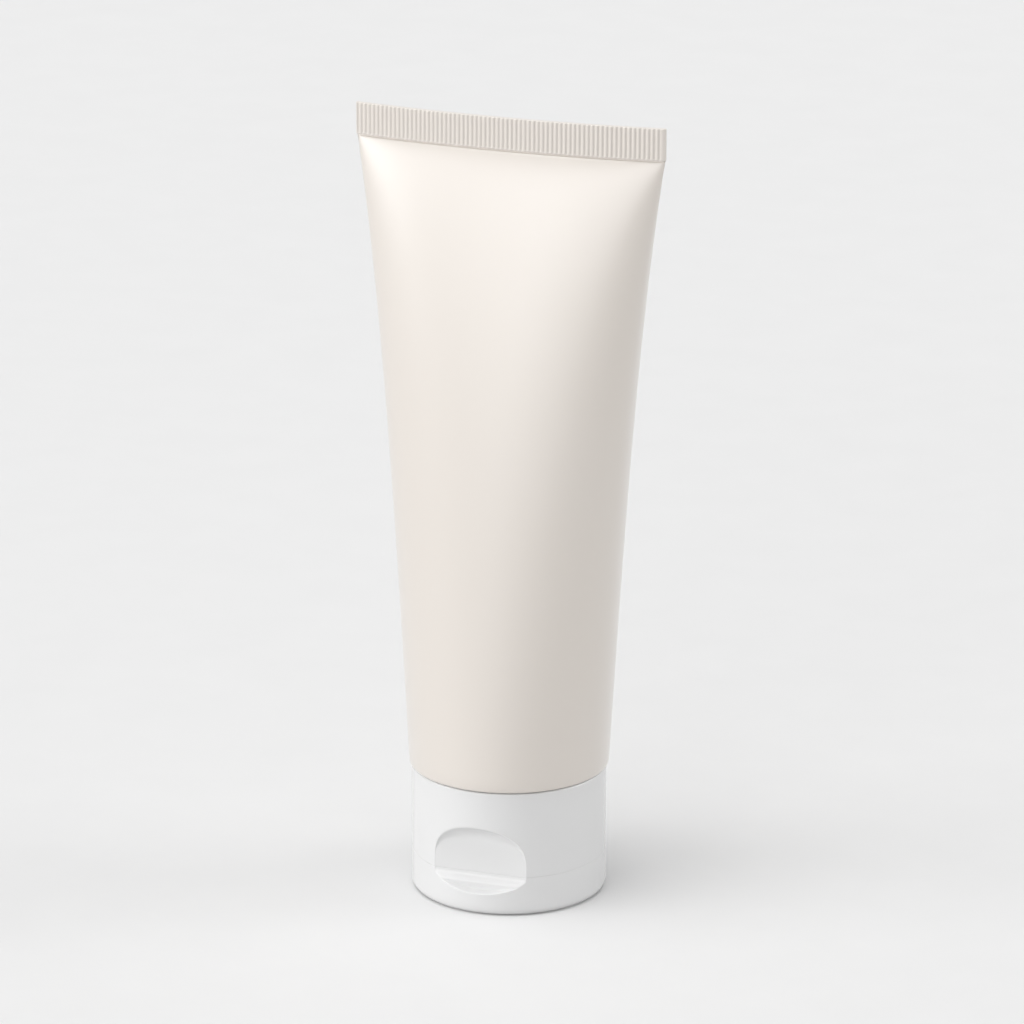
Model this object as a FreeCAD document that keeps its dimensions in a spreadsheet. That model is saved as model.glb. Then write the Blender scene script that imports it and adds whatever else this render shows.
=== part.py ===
import FreeCAD, Part

import math
import os

import Sketcher
from FreeCAD import Vector

# A squeeze tube of gel that stands upside down on its flip-top cap. +Z is up, the front (the side
# with the thumb recess) looks along -Y, the crimped end runs along X. The origin is on the standing
# face, on the axis of the cap. Millimetres throughout.

doc = FreeCAD.newDocument("gel_tube")

# --------------------------------------------------------------------------------------------------
# Driving dimensions
# --------------------------------------------------------------------------------------------------

SIZES = [
    ("cap_radius", 19.7, "outside radius of the cap and the lid"),
    ("cap_wall", 1.2, "wall of the cap and the lid"),
    ("cap_top", 26.15, "height of the cap's upper rim"),
    ("parting", 8.2, "height of the line where the lid leaves the cap"),
    ("parting_gap", 0.04, "hairline between the lid and the cap"),
    ("foot_rounding", 1.5, "rounding round the standing face"),
    ("rim_rounding", 0.35, "rounding of the cap's upper rim"),
    ("deck", 1.4, "deck across the cap, just above the parting line"),
    ("bore_radius", 1.5, "dispensing hole through the deck"),
    ("spout_radius", 3.4, "short spout round the dispensing hole"),
    ("spout_drop", 2.4, "how far the spout stands below the deck"),
    ("ring_radius", 18.25, "outside of the ring that keeps the lid centred"),
    ("ring_wall", 0.9, "wall of that ring"),
    ("ring_drop", 1.3, "how far the ring reaches into the lid"),
    ("collar_inside", 10.6, "inside radius of the screw collar"),
    ("collar_outside", 11.8, "outside radius of the screw collar"),
    ("collar_top", 20.0, "height of the screw collar's open end"),
    ("seal_inside", 6.6, "inside radius of the sealing ring on the deck"),
    ("seal_outside", 7.4, "outside radius of the sealing ring on the deck"),
    ("plate", 1.4, "thickness of the lid's plate"),
    ("pin_radius", 1.25, "plug pin that closes the dispensing hole"),
    ("pin_top", 7.2, "height of the plug pin's tip"),
    ("pin_rounding", 0.6, "rounding of the plug pin's tip"),
    ("recess_half", 9.9, "half width of the thumb recess"),
    ("recess_top", 18.65, "highest point of the recess's arched upper edge"),
    ("recess_shoulder", 16.0, "height where the arch meets the sides of the recess"),
    ("recess_corner", 3.0, "corner radius where the arch meets the sides"),
    ("recess_floor", 16.9, "distance from the axis to the flat floor of the recess"),
    ("recess_back", 15.7, "distance from the axis to the back of the recess's wall"),
    ("recess_shelf", 19.4, "height of the top of the recess's wall"),
    ("scoop_floor", 17.95, "distance from the axis to the flat of the lid's thumb lip"),
    ("scoop_low", 4.4, "lowest point of the scoop in the lid"),
    ("scoop_rise", 2.3, "how much higher the scoop's edge is at its two ends"),
    ("lip_root", 7.6, "height where the thumb lip starts to run outwards"),
    ("lip_crest", 6.1, "height of the thumb lip's front edge"),
    ("lip_clearance", 0.5, "room between the lip's back and the ends of the ring"),
    ("hinge_out", 20.1, "distance from the axis to the fold line of the hinge"),
    ("pad_half", 6.0, "half width of the hinge pads"),
    ("pad_face", 20.05, "distance from the axis to the outer face of the pads"),
    ("pad_root", 18.55, "distance from the axis to the root of the pads"),
    ("pad_height", 2.5, "height of each hinge pad"),
    ("film_half", 5.5, "half width of the hinge film"),
    ("film_reach", 0.7, "free film on each side of the fold line"),
    ("film_thickness", 0.3, "thickness of the hinge film"),
    ("fold_groove", 0.15, "radius of the groove that thins the fold line"),
    ("shoulder_gap", 0.3, "shadow gap between the cap's rim and the sleeve"),
    ("sleeve_radius", 20.2, "outside radius of the round end of the sleeve"),
    ("sleeve_wall", 0.5, "wall of the sleeve"),
    ("sleeve_turn_in", 18.9, "radius to which the sleeve's end is turned in"),
    ("sleeve_edge", 0.45, "rounding of the turned-in end"),
    ("crimp_low", 154.2, "height where the crimped strip starts"),
    ("crimp_high", 160.6, "height of the end of the tube"),
    ("crimp_half", 32.2, "half width of the crimped strip"),
    ("crimp_thickness", 1.0, "two walls welded together"),
    ("root_thickness", 0.6, "the pressed groove just below the strip"),
    ("root_step", 0.15, "how far the strip stands out beyond that groove at each end"),
    ("root_rise", 0.6, "how far the sleeve's root reaches into the strip"),
    ("crimp_bow", 2.3, "how far the middle of the strip bows towards the front"),
    ("crimp_ribs", 70, "upright ribs pressed into the strip"),
    ("rib_depth", 0.2, "height of a rib from trough to crest"),
    ("flare_straight", 0.727, "share of the widening that is in proportion to height"),
    ("flare_power", 3.9, "power of the remaining, late widening"),
    ("squareness", 0.8, "added to the exponent 2 of the ellipse at the crimp"),
    ("cavity_top", 151.5, "height where the two walls meet inside"),
    ("head_rim", 19.5, "outside radius of the shoulder inside the sleeve"),
    ("head_rim_height", 1.3, "height of the shoulder's rim inside the sleeve"),
    ("head_step", 18.2, "outside radius of the shoulder inside the cap"),
    ("head_wall", 1.3, "wall of the shoulder and the neck"),
    ("cone_high", 26.0, "height where the shoulder starts to narrow"),
    ("cone_low", 21.6, "height where the shoulder meets the neck"),
    ("neck_radius", 9.4, "neck, without its thread"),
    ("neck_end", 10.65, "height of the neck's end"),
    ("orifice_radius", 2.5, "hole in the neck's end"),
    ("gel_clearance", 0.15, "the gel is drawn this much short of the walls"),
    ("gel_level", 111.8, "height that the gel reaches, with air above it"),
]

sheet = doc.addObject("Spreadsheet::Sheet", "sizes")
for row, (alias, value, note) in enumerate(SIZES, start=1):
    sheet.set(f"A{row}", note)
    sheet.set(f"B{row}", str(value))
    sheet.setAlias(f"B{row}", alias)
doc.recompute()


def size(alias):
    return float(sheet.get(alias))


def value_of(expression):
    """The number that an expression over the sheet stands for."""
    return float(sheet.evalExpression(expression))


# --------------------------------------------------------------------------------------------------
# Small helpers for bodies and sketches
# --------------------------------------------------------------------------------------------------


def bound(expression):
    """Writes each alias in an expression as a reference to the sheet."""
    words = expression.replace("(", " ( ").replace(")", " ) ").split()
    aliases = {alias for alias, _, _ in SIZES}
    return " ".join(f"sizes.{word}" if word in aliases else word for word in words)


def new_body(name):
    body = doc.addObject("PartDesign::Body", name + "_body")
    body.Label = name
    return body


def plane(body, role):
    return next(f for f in body.Origin.OriginFeatures if f.Role == role)


def new_sketch(body, name, role, offset="0"):
    sketch = body.newObject("Sketcher::SketchObject", name)
    sketch.AttachmentSupport = [(plane(body, role), "")]
    sketch.MapMode = "FlatFace"
    if offset != "0":
        sketch.setExpression("AttachmentOffset.Base.z", bound(offset))
    return sketch


def polygon(body, name, role, corners, offset="0"):
    """A closed polygon whose corners are pairs of expressions over the sheet."""
    sketch = new_sketch(body, name, role, offset)
    places = [Vector(value_of(bound(u)), value_of(bound(v)), 0) for u, v in corners]
    count = len(corners)
    for k in range(count):
        sketch.addGeometry(Part.LineSegment(places[k], places[(k + 1) % count]), False)
    for k in range(count):
        sketch.addConstraint(Sketcher.Constraint("Coincident", k, 2, (k + 1) % count, 1))
    for k, corner in enumerate(corners):
        for kind, axis, text, number in (
            ("DistanceX", -2, corner[0], places[k].x),
            ("DistanceY", -1, corner[1], places[k].y),
        ):
            if text == "0":
                sketch.addConstraint(Sketcher.Constraint("PointOnObject", k, 1, axis))
                continue
            index = sketch.addConstraint(Sketcher.Constraint(kind, -1, 1, k, 1, number))
            sketch.setExpression(f"Constraints[{index}]", bound(text))
    return sketch


def revolve(body, name, corners):
    """Turns a polygon of (radius, height) corners round the axis of the tube."""
    sketch = polygon(body, name + "_profile", "XZ_Plane", corners)
    turned = body.newObject("PartDesign::Revolution", name)
    turned.Profile = sketch
    turned.ReferenceAxis = (sketch, ["V_Axis"])
    turned.Angle = 360
    doc.recompute()
    return turned


def pad(body, name, sketch, length, midplane=False, flip=False):
    raised = body.newObject("PartDesign::Pad", name)
    raised.Profile = sketch
    raised.setExpression("Length", bound(length))
    raised.Midplane = midplane
    raised.Reversed = flip
    doc.recompute()
    return raised


def pocket(body, name, sketch, length, midplane=False, flip=False):
    """Cuts a sketch out of the body, and makes sure that it really took material away."""
    before = body.Shape.Volume
    cut = body.newObject("PartDesign::Pocket", name)
    cut.Profile = sketch
    cut.setExpression("Length", bound(length))
    cut.Midplane = midplane
    cut.Reversed = flip
    doc.recompute()
    if body.Shape.Volume > before - 1:
        raise RuntimeError(f"{name} cuts nothing")
    return cut


def round_edges(body, name, radius, wanted):
    """Rounds the edges of the body's last feature that wanted() picks."""
    last = body.Tip
    chosen = [f"Edge{k}" for k, edge in enumerate(last.Shape.Edges, start=1) if wanted(edge)]
    if not chosen:
        raise RuntimeError(f"{name} found no edge")
    rounding = body.newObject("PartDesign::Fillet", name)
    rounding.Base = (last, chosen)
    rounding.setExpression("Radius", bound(radius))
    doc.recompute()
    return rounding


def is_circle(edge, radius, height):
    """True for an edge that runs round the axis at a radius and a height."""
    curve = edge.Curve
    if not isinstance(curve, Part.Circle) or abs(curve.Radius - radius) > 0.01:
        return False
    centre = curve.Center
    return math.hypot(centre.x, centre.y) < 0.01 and abs(centre.z - height) < 0.01


def segment_block(body, name, chord, radius, low, high):
    """Fills the front of a round wall up to a flat: the stretch between a chord and the wall."""
    sketch = new_sketch(body, name + "_outline", "XY_Plane", low)
    reach, round_to = value_of(bound(chord)), value_of(bound(radius))
    half = math.sqrt(round_to**2 - reach**2)
    left, right = Vector(-half, -reach, 0), Vector(half, -reach, 0)
    sketch.addGeometry(Part.LineSegment(right, left), False)
    sketch.addGeometry(Part.Arc(left, Vector(0, -round_to, 0), right), False)
    sketch.addConstraint(Sketcher.Constraint("Coincident", 0, 2, 1, 1))
    sketch.addConstraint(Sketcher.Constraint("Coincident", 0, 1, 1, 2))
    sketch.addConstraint(Sketcher.Constraint("Coincident", 1, 3, -1, 1))
    sketch.addConstraint(Sketcher.Constraint("Horizontal", 0))
    index = sketch.addConstraint(Sketcher.Constraint("Radius", 1, round_to))
    sketch.setExpression(f"Constraints[{index}]", bound(radius))
    index = sketch.addConstraint(Sketcher.Constraint("DistanceY", 0, 1, -1, 1, reach))
    sketch.setExpression(f"Constraints[{index}]", bound(chord))
    return pad(body, name, sketch, f"{high} - ({low})")


def arched(body, name, offset, base, ends, crown):
    """An outline as wide as the recess: a straight base, two sides, and an arc over or under them."""
    sketch = new_sketch(body, name, "XZ_Plane", offset)
    half = size("recess_half")
    flat, shoulder, top = (value_of(bound(text)) for text in (base, ends, crown))
    left, right = Vector(-half, shoulder, 0), Vector(half, shoulder, 0)
    sketch.addGeometry(Part.Arc(left, Vector(0, top, 0), right), False)
    sketch.addGeometry(Part.LineSegment(right, Vector(half, flat, 0)), False)
    sketch.addGeometry(Part.LineSegment(Vector(half, flat, 0), Vector(-half, flat, 0)), False)
    sketch.addGeometry(Part.LineSegment(Vector(-half, flat, 0), left), False)
    # an arc's points run anticlockwise, so an arc over the sides starts at the right one
    right_end, left_end = (1, 2) if top > shoulder else (2, 1)
    corners = ((0, right_end, 1, 1), (1, 2, 2, 1), (2, 2, 3, 1), (3, 2, 0, left_end))
    for corner in corners:
        sketch.addConstraint(Sketcher.Constraint("Coincident", *corner))
    sketch.addConstraint(Sketcher.Constraint("PointOnObject", 0, 3, -2))
    sketch.addConstraint(Sketcher.Constraint("Vertical", 1))
    sketch.addConstraint(Sketcher.Constraint("Horizontal", 2))
    sketch.addConstraint(Sketcher.Constraint("Vertical", 3))
    for kind, geometry, point, number, text in (
        ("DistanceX", 0, right_end, half, "recess_half"),
        ("DistanceY", 0, right_end, shoulder, ends),
        ("DistanceY", 2, 1, flat, base),
    ):
        index = sketch.addConstraint(Sketcher.Constraint(kind, -1, 1, geometry, point, number))
        sketch.setExpression(f"Constraints[{index}]", bound(text))
    rise = abs(top - shoulder)
    bulge = f"({crown} - ({ends}))" if top > shoulder else f"(({ends}) - {crown})"
    radius = (half**2 + rise**2) / (2 * rise)
    index = sketch.addConstraint(Sketcher.Constraint("Radius", 0, radius))
    text = f"recess_half * recess_half / (2 * {bulge}) + {bulge} / 2"
    sketch.setExpression(f"Constraints[{index}]", bound(text))
    return sketch


# --------------------------------------------------------------------------------------------------
# cap_base: the part of the cap that screws on the neck
# --------------------------------------------------------------------------------------------------

# The deck closes the cap at the parting line. Round the dispensing hole it carries a short spout,
# and near its rim a low ring that centres the lid. On the tube's side stand the collar that screws
# on the neck and the ring that seals against the neck's end.

cap_base = new_body("cap_base")
revolve(
    cap_base,
    "cap_turned",
    [
        ("bore_radius", "parting - spout_drop"),
        ("spout_radius", "parting - spout_drop"),
        ("spout_radius", "parting"),
        ("ring_radius - ring_wall", "parting"),
        ("ring_radius - ring_wall", "parting - ring_drop"),
        ("ring_radius", "parting - ring_drop"),
        ("ring_radius", "parting"),
        ("cap_radius", "parting"),
        ("cap_radius", "cap_top"),
        ("cap_radius - cap_wall", "cap_top"),
        ("cap_radius - cap_wall", "parting + deck"),
        ("collar_outside", "parting + deck"),
        ("collar_outside", "collar_top"),
        ("collar_inside", "collar_top"),
        ("collar_inside", "parting + deck"),
        ("seal_outside", "parting + deck"),
        ("seal_outside", "neck_end"),
        ("seal_inside", "neck_end"),
        ("seal_inside", "parting + deck"),
        ("bore_radius", "parting + deck"),
    ],
)
round_edges(
    cap_base,
    "cap_rim_rounding",
    "rim_rounding",
    lambda edge: is_circle(edge, size("cap_radius"), size("cap_top")),
)

# The ring stops short of the lid's thumb lip, which is solid where the ring would run.
ring_gap = polygon(
    cap_base,
    "ring_gap_outline",
    "XY_Plane",
    [
        ("- cap_radius", "- cap_radius"),
        ("cap_radius", "- cap_radius"),
        ("cap_radius", "- ( recess_back - lip_clearance )"),
        ("- cap_radius", "- ( recess_back - lip_clearance )"),
    ],
    offset="parting",
)
pocket(cap_base, "ring_gap", ring_gap, "2 * ring_drop")

# The thumb recess is a flat-floored pocket in the front of the wall, so the wall steps inwards
# behind it. At its two sides the flat almost runs out into the round wall. The pocket is open
# towards the lid.
segment_block(
    cap_base, "recess_wall", "recess_back", "cap_radius - cap_wall / 2", "parting", "recess_shelf"
)
recess = arched(
    cap_base,
    "recess_outline",
    offset="recess_floor",
    base="parting - 1",
    ends="recess_shoulder",
    crown="recess_top",
)
pocket(cap_base, "thumb_recess", recess, "cap_radius", flip=True)


def is_recess_corner(edge):
    """The two short edges, square to the floor, where the arch meets the sides of the pocket."""
    box = edge.BoundBox
    return (
        isinstance(edge.Curve, Part.Line)
        and abs(edge.CenterOfMass.z - size("recess_shoulder")) < 0.01
        and abs(abs(edge.CenterOfMass.x) - size("recess_half")) < 0.01
        and box.XLength < 0.01
        and box.ZLength < 0.01
    )


round_edges(cap_base, "recess_corners", "recess_corner", is_recess_corner)

# The upper hinge pad stands on the back of the wall, just above the fold line.
upper_pad = polygon(
    cap_base,
    "upper_pad_outline",
    "XZ_Plane",
    [
        ("- pad_half", "parting + film_reach"),
        ("pad_half", "parting + film_reach"),
        ("pad_half", "parting + film_reach + pad_height"),
        ("- pad_half", "parting + film_reach + pad_height"),
    ],
    offset="- pad_root",
)
pad(cap_base, "upper_pad", upper_pad, "pad_face - pad_root", flip=True)

# --------------------------------------------------------------------------------------------------
# flip_lid: the lid on which the tube stands
# --------------------------------------------------------------------------------------------------

flip_lid = new_body("flip_lid")
revolve(
    flip_lid,
    "lid_turned",
    [
        ("0", "0"),
        ("cap_radius", "0"),
        ("cap_radius", "parting - parting_gap"),
        ("cap_radius - cap_wall", "parting - parting_gap"),
        ("cap_radius - cap_wall", "plate"),
        ("pin_radius", "plate"),
        ("pin_radius", "pin_top"),
        ("0", "pin_top"),
    ],
)
round_edges(
    flip_lid, "foot_edge", "foot_rounding", lambda edge: is_circle(edge, size("cap_radius"), 0)
)
round_edges(
    flip_lid,
    "pin_tip",
    "pin_rounding",
    lambda edge: is_circle(edge, size("pin_radius"), size("pin_top")),
)

# The front of the lid is filled up to the back of the recess, then the thumb scoop is cut: a flat
# whose lower edge is a shallow arc, and above it a ramp that leads up to the floor of the recess.
segment_block(
    flip_lid,
    "scoop_wall",
    "recess_back",
    "cap_radius - cap_wall / 2",
    "plate - 0.4",
    "parting - parting_gap",
)
scoop = arched(
    flip_lid,
    "scoop_outline",
    offset="scoop_floor",
    base="parting + 1",
    ends="scoop_low + scoop_rise",
    crown="scoop_low",
)
pocket(flip_lid, "thumb_scoop", scoop, "cap_radius", flip=True)
ramp = polygon(
    flip_lid,
    "lip_ramp_outline",
    "YZ_Plane",
    [
        ("- recess_floor", "lip_root"),
        ("- scoop_floor", "lip_crest"),
        ("- cap_radius - 1", "lip_crest"),
        ("- cap_radius - 1", "parting + 1"),
        ("- recess_floor", "parting + 1"),
    ],
)
pocket(flip_lid, "lip_ramp", ramp, "2 * recess_half", midplane=True)

# The lower hinge pad mirrors the upper one below the fold line.
lower_pad = polygon(
    flip_lid,
    "lower_pad_outline",
    "XZ_Plane",
    [
        ("- pad_half", "parting - film_reach - pad_height"),
        ("pad_half", "parting - film_reach - pad_height"),
        ("pad_half", "parting - film_reach"),
        ("- pad_half", "parting - film_reach"),
    ],
    offset="- pad_root",
)
pad(flip_lid, "lower_pad", lower_pad, "pad_face - pad_root", flip=True)

# --------------------------------------------------------------------------------------------------
# hinge_film: the thin web that joins the lid to the cap and bends when the lid opens
# --------------------------------------------------------------------------------------------------

hinge_film = new_body("hinge_film")
film = polygon(
    hinge_film,
    "film_outline",
    "XZ_Plane",
    [
        ("- film_half", "parting - film_reach"),
        ("film_half", "parting - film_reach"),
        ("film_half", "parting + film_reach"),
        ("- film_half", "parting + film_reach"),
    ],
    offset="- ( pad_face - film_thickness )",
)
pad(hinge_film, "film", film, "film_thickness", flip=True)

# A groove round the fold line thins the film there, so that it always folds in the same place.
fold = new_sketch(hinge_film, "fold_outline", "YZ_Plane")
fold_place = Vector(size("hinge_out"), size("parting"), 0)
fold.addGeometry(Part.Circle(fold_place, Vector(0, 0, 1), size("fold_groove")), False)
for kind, ends, text in (
    ("DistanceX", (-1, 1, 0, 3), "hinge_out"),
    ("DistanceY", (-1, 1, 0, 3), "parting"),
    ("Radius", (0,), "fold_groove"),
):
    index = fold.addConstraint(Sketcher.Constraint(kind, *ends, size(text)))
    fold.setExpression(f"Constraints[{index}]", bound(text))
fold_cut = hinge_film.newObject("PartDesign::Pocket", "fold_line")
fold_cut.Profile = fold
fold_cut.setExpression("Length", bound("4 * film_half"))
fold_cut.Midplane = True
doc.recompute()

# --------------------------------------------------------------------------------------------------
# tube_head: shoulder and neck, moulded on the end of the sleeve
# --------------------------------------------------------------------------------------------------

# The neck points down into the cap's collar. Its end is closed but for the orifice, which lets the
# gel through to the dispensing hole of the cap.

tube_head = new_body("tube_head")
rim_low = "cap_top + shoulder_gap + sleeve_wall"
rim_high = rim_low + " + head_rim_height"
revolve(
    tube_head,
    "head_turned",
    [
        ("orifice_radius", "neck_end"),
        ("neck_radius", "neck_end"),
        ("neck_radius", "cone_low"),
        ("head_step", "cone_high"),
        ("head_step", rim_low),
        ("head_rim", rim_low),
        ("head_rim", rim_high),
        ("head_step - head_wall", rim_high),
        ("head_step - head_wall", "cone_high + head_wall / 2"),
        ("neck_radius - head_wall", "cone_low + head_wall / 2"),
        ("neck_radius - head_wall", "neck_end + head_wall"),
        ("orifice_radius", "neck_end + head_wall"),
    ],
)

# --------------------------------------------------------------------------------------------------
# tube_sleeve: the squeezable wall, round at the head and pressed flat at the crimp
# --------------------------------------------------------------------------------------------------

# The sleeve is cut from a straight tube, so its girth stays almost the same from the round end to
# the crimp: where it gets wider it gets shallower. Each section is an ellipse, slightly squared
# towards the crimp, and its depth follows from its width and the girth.

SECTION_POINTS = 32
SECTIONS = 13


def outline(half_width, half_depth, exponent, count=SECTION_POINTS):
    """Points round a section that is an ellipse for exponent 2 and squarer above it."""
    points = []
    for k in range(count):
        angle = 2 * math.pi * k / count
        c, s = math.cos(angle), math.sin(angle)
        points.append(
            (
                half_width * math.copysign(abs(c) ** (2 / exponent), c),
                half_depth * math.copysign(abs(s) ** (2 / exponent), s),
            )
        )
    return points


def girth(half_width, half_depth, exponent):
    points = outline(half_width, half_depth, exponent, 720)
    return sum(math.dist(points[k - 1], points[k]) for k in range(len(points)))


def half_depth_for(half_width, wanted, exponent, least):
    """The half depth at which a section of this width has the wanted girth."""
    low, high = least, half_width * 1.2
    if girth(half_width, low, exponent) >= wanted:
        return low
    for _ in range(40):
        middle = (low + high) / 2
        if girth(half_width, middle, exponent) < wanted:
            low = middle
        else:
            high = middle
    return (low + high) / 2


sleeve_low = size("cap_top") + size("shoulder_gap")
sleeve_length = size("crimp_low") - sleeve_low
root_half = size("crimp_half") - size("root_step")


def section_at(share):
    """Half width, half depth, exponent and bow of the sleeve at a share of its height."""
    straight = size("flare_straight")
    widening = straight * share + (1 - straight) * share ** size("flare_power")
    half_width = size("sleeve_radius") + (root_half - size("sleeve_radius")) * widening
    exponent = 2 + size("squareness") * share**2
    round_girth = 2 * math.pi * size("sleeve_radius")
    flat_girth = 4 * root_half
    wanted = round_girth + (flat_girth - round_girth) * share
    half_depth = half_depth_for(half_width, wanted, exponent, size("root_thickness") / 2)
    return half_width, half_depth, exponent, size("crimp_bow") * share**6


def section_wire(share, inset):
    half_width, half_depth, exponent, bow = section_at(share)
    z = sleeve_low + sleeve_length * share
    points = []
    for x, y in outline(half_width - inset, half_depth - inset, exponent):
        points.append(Vector(x, y - bow * (1 - (x / half_width) ** 2), z))
    curve = Part.BSplineCurve()
    curve.interpolate(Points=points, PeriodicFlag=True)
    return Part.Wire(curve.toShape())


def sleeve_solid(inset, low_share, high_share):
    """The sleeve's form, all of it or only its inside, as a solid skinned over its sections."""
    wires = []
    for k in range(SECTIONS):
        # the sections stand closer together towards the crimp, where the form changes faster
        step = 1 - (1 - k / (SECTIONS - 1)) ** 1.5
        wires.append(section_wire(low_share + (high_share - low_share) * step, inset))
    return Part.makeLoft(wires, True, False, False, 5)


def rounded_end():
    """The round end's outer edge, as a short solid whose sections draw in along a quarter circle."""
    edge = size("sleeve_edge")
    wires = []
    for k in range(6):
        turn = math.pi / 2 * k / 5
        height = sleeve_low + edge * (1 - math.cos(turn))
        wires.append(section_wire(share_of(height), edge * (1 - math.sin(turn))))
    return Part.makeLoft(wires, True, False, False, 5)


def share_of(height):
    return (height - sleeve_low) / sleeve_length


def root_solid():
    """The sleeve's flat end, carried straight on into the welded strip."""
    return Part.Face(section_wire(1, 0)).extrude(Vector(0, 0, size("root_rise")))


def crimp_solid():
    """The welded strip: a bowed band with upright ribs pressed into both faces."""
    half, count = size("crimp_half"), int(size("crimp_ribs"))
    front, back = [], []
    for k in range(2 * count + 1):
        x = -half + half * k / count
        middle = -size("crimp_bow") * (1 - (x / half) ** 2)
        wave = size("rib_depth") / 2 * (-1) ** k
        front.append(Vector(x, middle + wave - size("crimp_thickness") / 2, size("crimp_low")))
        back.append(Vector(x, middle + wave + size("crimp_thickness") / 2, size("crimp_low")))
    corners = front + back[::-1]
    face = Part.Face(Part.makePolygon(corners + corners[:1]))
    return face.extrude(Vector(0, 0, size("crimp_high") - size("crimp_low")))


wall = size("sleeve_wall")
inside_low = share_of(sleeve_low + wall)
inside_high = share_of(size("cavity_top"))
outside = rounded_end().fuse(sleeve_solid(0, share_of(sleeve_low + size("sleeve_edge")), 1))
mouth = Part.makeCylinder(size("sleeve_turn_in"), 2 * wall, Vector(0, 0, sleeve_low - wall / 2))
hollow = sleeve_solid(wall, inside_low, inside_high).fuse(mouth)

tube_sleeve = doc.addObject("Part::Feature", "tube_sleeve")
tube_sleeve.Label = "tube_sleeve"
tube_sleeve.Shape = outside.fuse([root_solid(), crimp_solid()]).cut(hollow).Solids[0]
tube_sleeve.Placement = FreeCAD.Placement()

# --------------------------------------------------------------------------------------------------
# gel_fill: the gel inside the sleeve, the shoulder and the neck
# --------------------------------------------------------------------------------------------------

# The gel fills the tube from the neck up to its level. It is kept a little short of every wall.

short = size("gel_clearance")
inner_step = size("head_step") - size("head_wall") - short
inner_neck = size("neck_radius") - size("head_wall") - short
rim_top = sleeve_low + wall + size("head_rim_height")
neck_floor = size("neck_end") + size("head_wall") + short
profile = [
    Vector(0, 0, neck_floor),
    Vector(inner_neck, 0, neck_floor),
    Vector(inner_neck, 0, size("cone_low") + size("head_wall") / 2 + short),
    Vector(inner_step, 0, size("cone_high") + size("head_wall") / 2 + short),
    Vector(inner_step, 0, rim_top + 2 * short),
    Vector(0, 0, rim_top + 2 * short),
]
in_head = Part.Face(Part.makePolygon(profile + profile[:1])).revolve(
    Vector(0, 0, 0), Vector(0, 0, 1), 360
)
in_sleeve = sleeve_solid(wall + short, share_of(rim_top + short), share_of(size("gel_level")))

gel_fill = doc.addObject("Part::Feature", "gel_fill")
gel_fill.Label = "gel_fill"
gel_fill.Shape = in_head.fuse(in_sleeve).removeSplitter().Solids[0]
gel_fill.Placement = FreeCAD.Placement()

# --------------------------------------------------------------------------------------------------
# Check every object, then write one file for each piece
# --------------------------------------------------------------------------------------------------

PIECES = [tube_sleeve, tube_head, gel_fill, cap_base, flip_lid, hinge_film]

doc.recompute()
for item in doc.Objects:
    if {"Invalid", "Error"} & set(item.State):
        raise RuntimeError(f"{item.Label} failed: {item.State}")

os.makedirs("parts", exist_ok=True)
for piece in PIECES:
    shape = piece.Shape
    if shape.isNull() or not shape.isValid() or len(shape.Solids) != 1:
        raise RuntimeError(f"{piece.Label} is not one sound solid")
    shape.exportStep(f"parts/{piece.Label}.step")
    print(f"{piece.Label}: {shape.Volume / 1000:.2f} cm3, {len(shape.Faces)} faces")
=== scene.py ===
# %% [markdown]
# # A squeeze tube of gel, standing on its flip-top cap
# The object is a 100 ml cosmetic tube: a satin sleeve whose end is pressed flat and ribbed, and a
# glossy white cap with a flip lid on which the tube stands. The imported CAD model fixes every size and
# every moving body. Here the pieces that show get their real surface: fine ribs in the crimp, soft
# mould radii on the cap, the thumb recess, the folding hinge film, and materials made from nodes.

# %% The frame
import math

import bmesh
import bpy
import numpy as np
from mathutils import Matrix, Vector


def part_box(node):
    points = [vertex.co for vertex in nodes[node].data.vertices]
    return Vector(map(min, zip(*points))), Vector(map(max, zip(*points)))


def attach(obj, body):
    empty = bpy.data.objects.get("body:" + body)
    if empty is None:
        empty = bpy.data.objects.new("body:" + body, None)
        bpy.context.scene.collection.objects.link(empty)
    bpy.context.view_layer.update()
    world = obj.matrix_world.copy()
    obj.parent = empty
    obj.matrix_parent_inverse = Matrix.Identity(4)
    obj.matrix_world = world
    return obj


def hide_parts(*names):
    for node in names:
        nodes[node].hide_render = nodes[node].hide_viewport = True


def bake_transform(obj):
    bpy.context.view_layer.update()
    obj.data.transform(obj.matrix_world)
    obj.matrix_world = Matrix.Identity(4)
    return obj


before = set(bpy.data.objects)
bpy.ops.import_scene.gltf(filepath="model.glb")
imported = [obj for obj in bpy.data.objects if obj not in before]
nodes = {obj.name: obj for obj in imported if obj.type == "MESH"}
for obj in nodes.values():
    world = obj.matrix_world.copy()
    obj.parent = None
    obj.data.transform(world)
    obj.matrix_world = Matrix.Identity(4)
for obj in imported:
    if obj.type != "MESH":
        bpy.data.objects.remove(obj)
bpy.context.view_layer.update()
MM = 0.001
print("pieces in the frame:", sorted(nodes))

# %% [markdown]
# ## Sizes that come from the frame
# All shapes below are worked out in millimetres. The outside sizes are read from the boxes of the CAD
# pieces, so a change in the CAD model moves the whole model with it. Only the small mould radii are written
# here.

# %% Sizes
sleeve_floor, sleeve_ceiling = (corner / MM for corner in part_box("tube_sleeve"))
cap_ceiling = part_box("cap_base")[1] / MM
lid_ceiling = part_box("flip_lid")[1] / MM
film_floor, film_ceiling = (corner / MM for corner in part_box("hinge_film"))

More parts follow.
